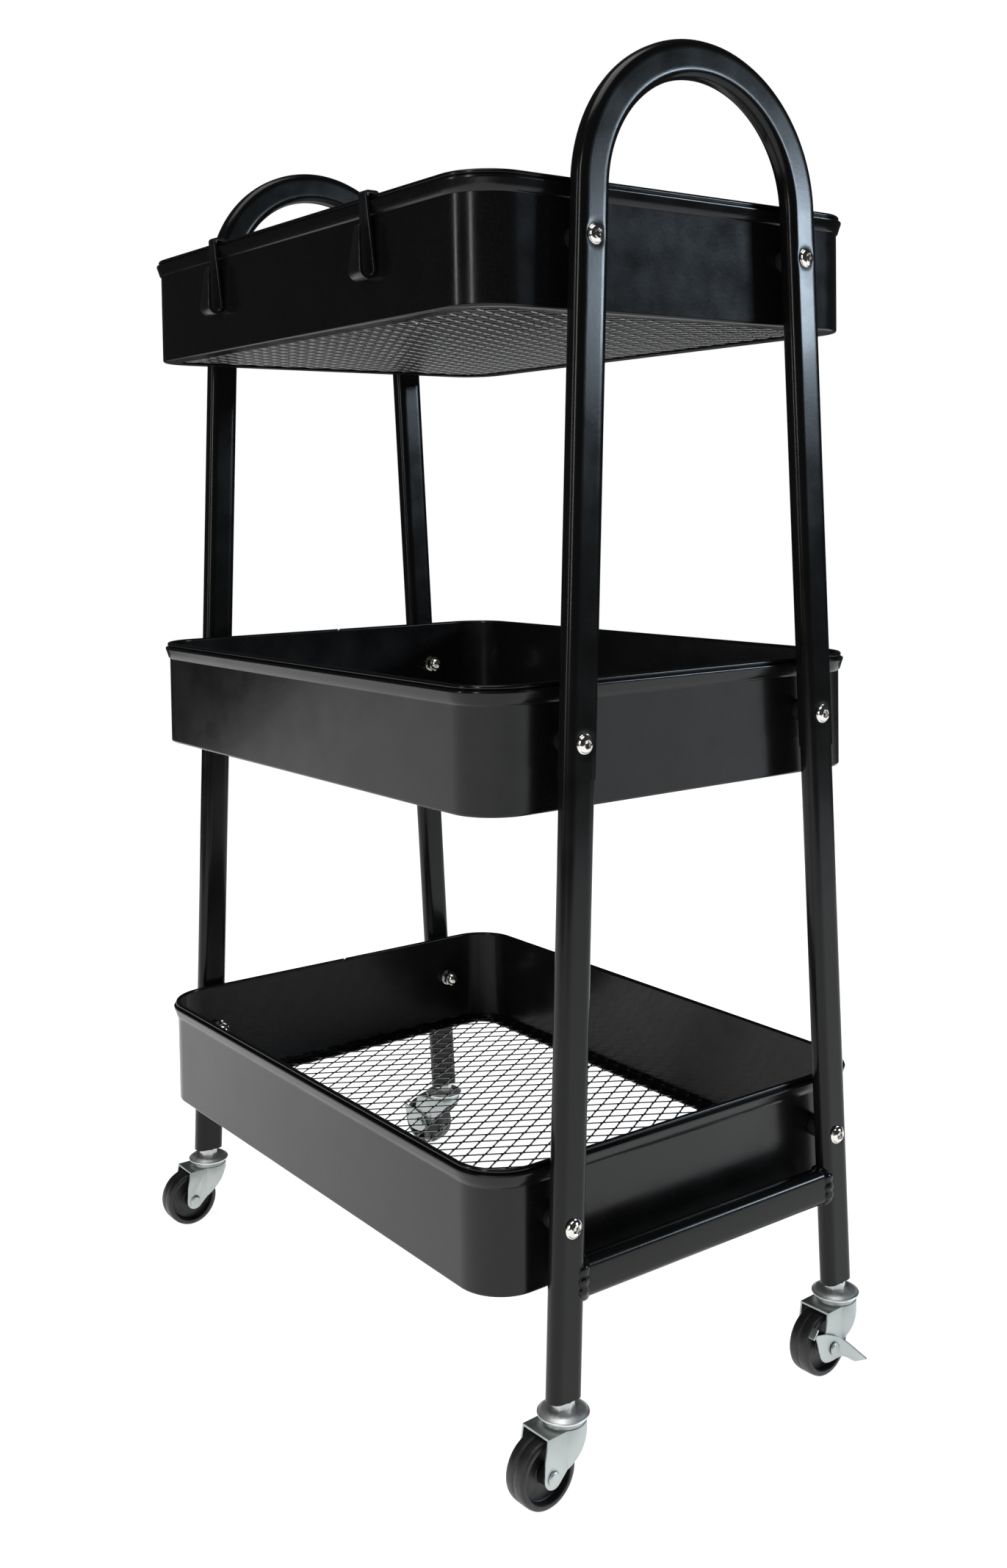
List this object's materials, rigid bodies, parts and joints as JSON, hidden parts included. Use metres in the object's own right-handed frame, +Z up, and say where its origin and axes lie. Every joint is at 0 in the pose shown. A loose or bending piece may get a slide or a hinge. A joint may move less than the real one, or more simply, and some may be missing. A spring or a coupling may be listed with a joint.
{
  "type": "rolling utility cart",
  "caption": "Three-tier black metal rolling cart: mesh-floored trays between two bow-handled tube end frames, swivel casters, rear brakes and rim hooks.",
  "frame": {"origin": "middle of the stance on the floor, half way between the two end frames and between front and rear legs", "axes": "+Z up, X along the long side with the end frames at its two ends, -Y towards the front rim that carries the hooks"},
  "size_m": [0.4867, 0.3026, 0.7835],
  "materials": {
    "frame_paint": "gloss black powder coat with fine orange peel",
    "tray_paint": "gloss black powder coat with a faint sparkle",
    "mesh_paint": "gloss black powder coat",
    "nickel": "bright nickel plate",
    "zinc": "bright blue zinc plate",
    "bearing_steel": "polished steel",
    "black_nylon": "moulded black nylon",
    "wheel_plastic": "satin moulded black plastic",
    "hook_plastic": "moulded black plastic, semi-gloss"
  },
  "bodies": {
    "cart": {"handle_arch_left": "frame_paint", "handle_arch_right": "frame_paint", "lower_leg_front_left": "frame_paint", "lower_leg_rear_left": "frame_paint", "lower_leg_front_right": "frame_paint", "lower_leg_rear_right": "frame_paint", "crossbar_left": "frame_paint", "crossbar_right": "frame_paint", "tray_shell_bottom": "tray_paint", "tray_shell_middle": "tray_paint", "tray_shell_top": "tray_paint", "mesh_floor_bottom": "mesh_paint", "mesh_floor_middle": "mesh_paint", "mesh_floor_top": "mesh_paint", "tray_bolts_bottom": "nickel", "tray_bolts_middle": "nickel", "tray_bolts_top": "nickel", "acorn_nuts_bottom": "nickel", "acorn_nuts_middle": "nickel", "acorn_nuts_top": "nickel", "nut_washers": "nickel", "frame_spacers": "black_nylon", "caster_sockets": "black_nylon", "caster_stem_front_left": "zinc", "caster_stem_rear_left": "zinc", "caster_stem_front_right": "zinc", "caster_stem_rear_right": "zinc"},
    "fork_front_left": {"caster_fork_front_left": "zinc", "caster_balls_front_left": "bearing_steel", "wheel_axle_front_left": "zinc"},
    "wheel_front_left": {"wheel_front_left": "wheel_plastic"},
    "fork_rear_left": {"caster_fork_rear_left": "zinc", "caster_balls_rear_left": "bearing_steel", "wheel_axle_rear_left": "zinc"},
    "wheel_rear_left": {"wheel_rear_left": "wheel_plastic"},
    "fork_front_right": {"caster_fork_front_right": "zinc", "caster_balls_front_right": "bearing_steel", "wheel_axle_front_right": "zinc"},
    "wheel_front_right": {"wheel_front_right": "wheel_plastic"},
    "fork_rear_right": {"caster_fork_rear_right": "zinc", "caster_balls_rear_right": "bearing_steel", "wheel_axle_rear_right": "zinc"},
    "wheel_rear_right": {"wheel_rear_right": "wheel_plastic"},
    "brake_rear_left": {"brake_lever_rear_left": "zinc"},
    "brake_rear_right": {"brake_lever_rear_right": "zinc"},
    "hook_left": {"hook_left": "hook_plastic"},
    "hook_right": {"hook_right": "hook_plastic"}
  },
  "joints": [
    {"name": "swivel_front_left", "type": "hinge", "parent": "cart", "child": "fork_front_left", "pos_m": [-0.213, -0.10648, 0.043], "axis": [0, 0, 1], "continuous": true},
    {"name": "roll_front_left", "type": "hinge", "parent": "fork_front_left", "child": "wheel_front_left", "pos_m": [-0.213, -0.12298, 0.019], "axis": [1, 0, 0], "continuous": true},
    {"name": "swivel_rear_left", "type": "hinge", "parent": "cart", "child": "fork_rear_left", "pos_m": [-0.213, 0.10648, 0.043], "axis": [0, 0, 1], "continuous": true},
    {"name": "roll_rear_left", "type": "hinge", "parent": "fork_rear_left", "child": "wheel_rear_left", "pos_m": [-0.22869, 0.10138, 0.019], "axis": [0.309, -0.9511, 0], "continuous": true},
    {"name": "swivel_front_right", "type": "hinge", "parent": "cart", "child": "fork_front_right", "pos_m": [0.213, -0.10648, 0.043], "axis": [0, 0, 1], "continuous": true},
    {"name": "roll_front_right", "type": "hinge", "parent": "fork_front_right", "child": "wheel_front_right", "pos_m": [0.21386, -0.12296, 0.019], "axis": [0.9986, 0.0523, 0], "continuous": true},
    {"name": "swivel_rear_right", "type": "hinge", "parent": "cart", "child": "fork_rear_right", "pos_m": [0.213, 0.10648, 0.043], "axis": [0, 0, 1], "continuous": true},
    {"name": "roll_rear_right", "type": "hinge", "parent": "fork_rear_right", "child": "wheel_rear_right", "pos_m": [0.21386, 0.09, 0.019], "axis": [0.9986, 0.0523, 0], "continuous": true},
    {"name": "brake_rear_left", "type": "hinge", "parent": "fork_rear_left", "child": "brake_rear_left", "pos_m": [-0.22498, 0.08997, 0.019], "axis": [0.309, -0.9511, 0], "range_deg": [0, 22]},
    {"name": "brake_rear_right", "type": "hinge", "parent": "fork_rear_right", "child": "brake_rear_right", "pos_m": [0.22585, 0.09063, 0.019], "axis": [0.9986, 0.0523, 0], "range_deg": [0, 22]},
    {"name": "hook_slide_left", "type": "slide", "parent": "cart", "child": "hook_left", "axis": [1, 0, 0], "range_m": [-0.06, 0.08]},
    {"name": "hook_slide_right", "type": "slide", "parent": "cart", "child": "hook_right", "axis": [1, 0, 0], "range_m": [-0.08, 0.05]}
  ]
}
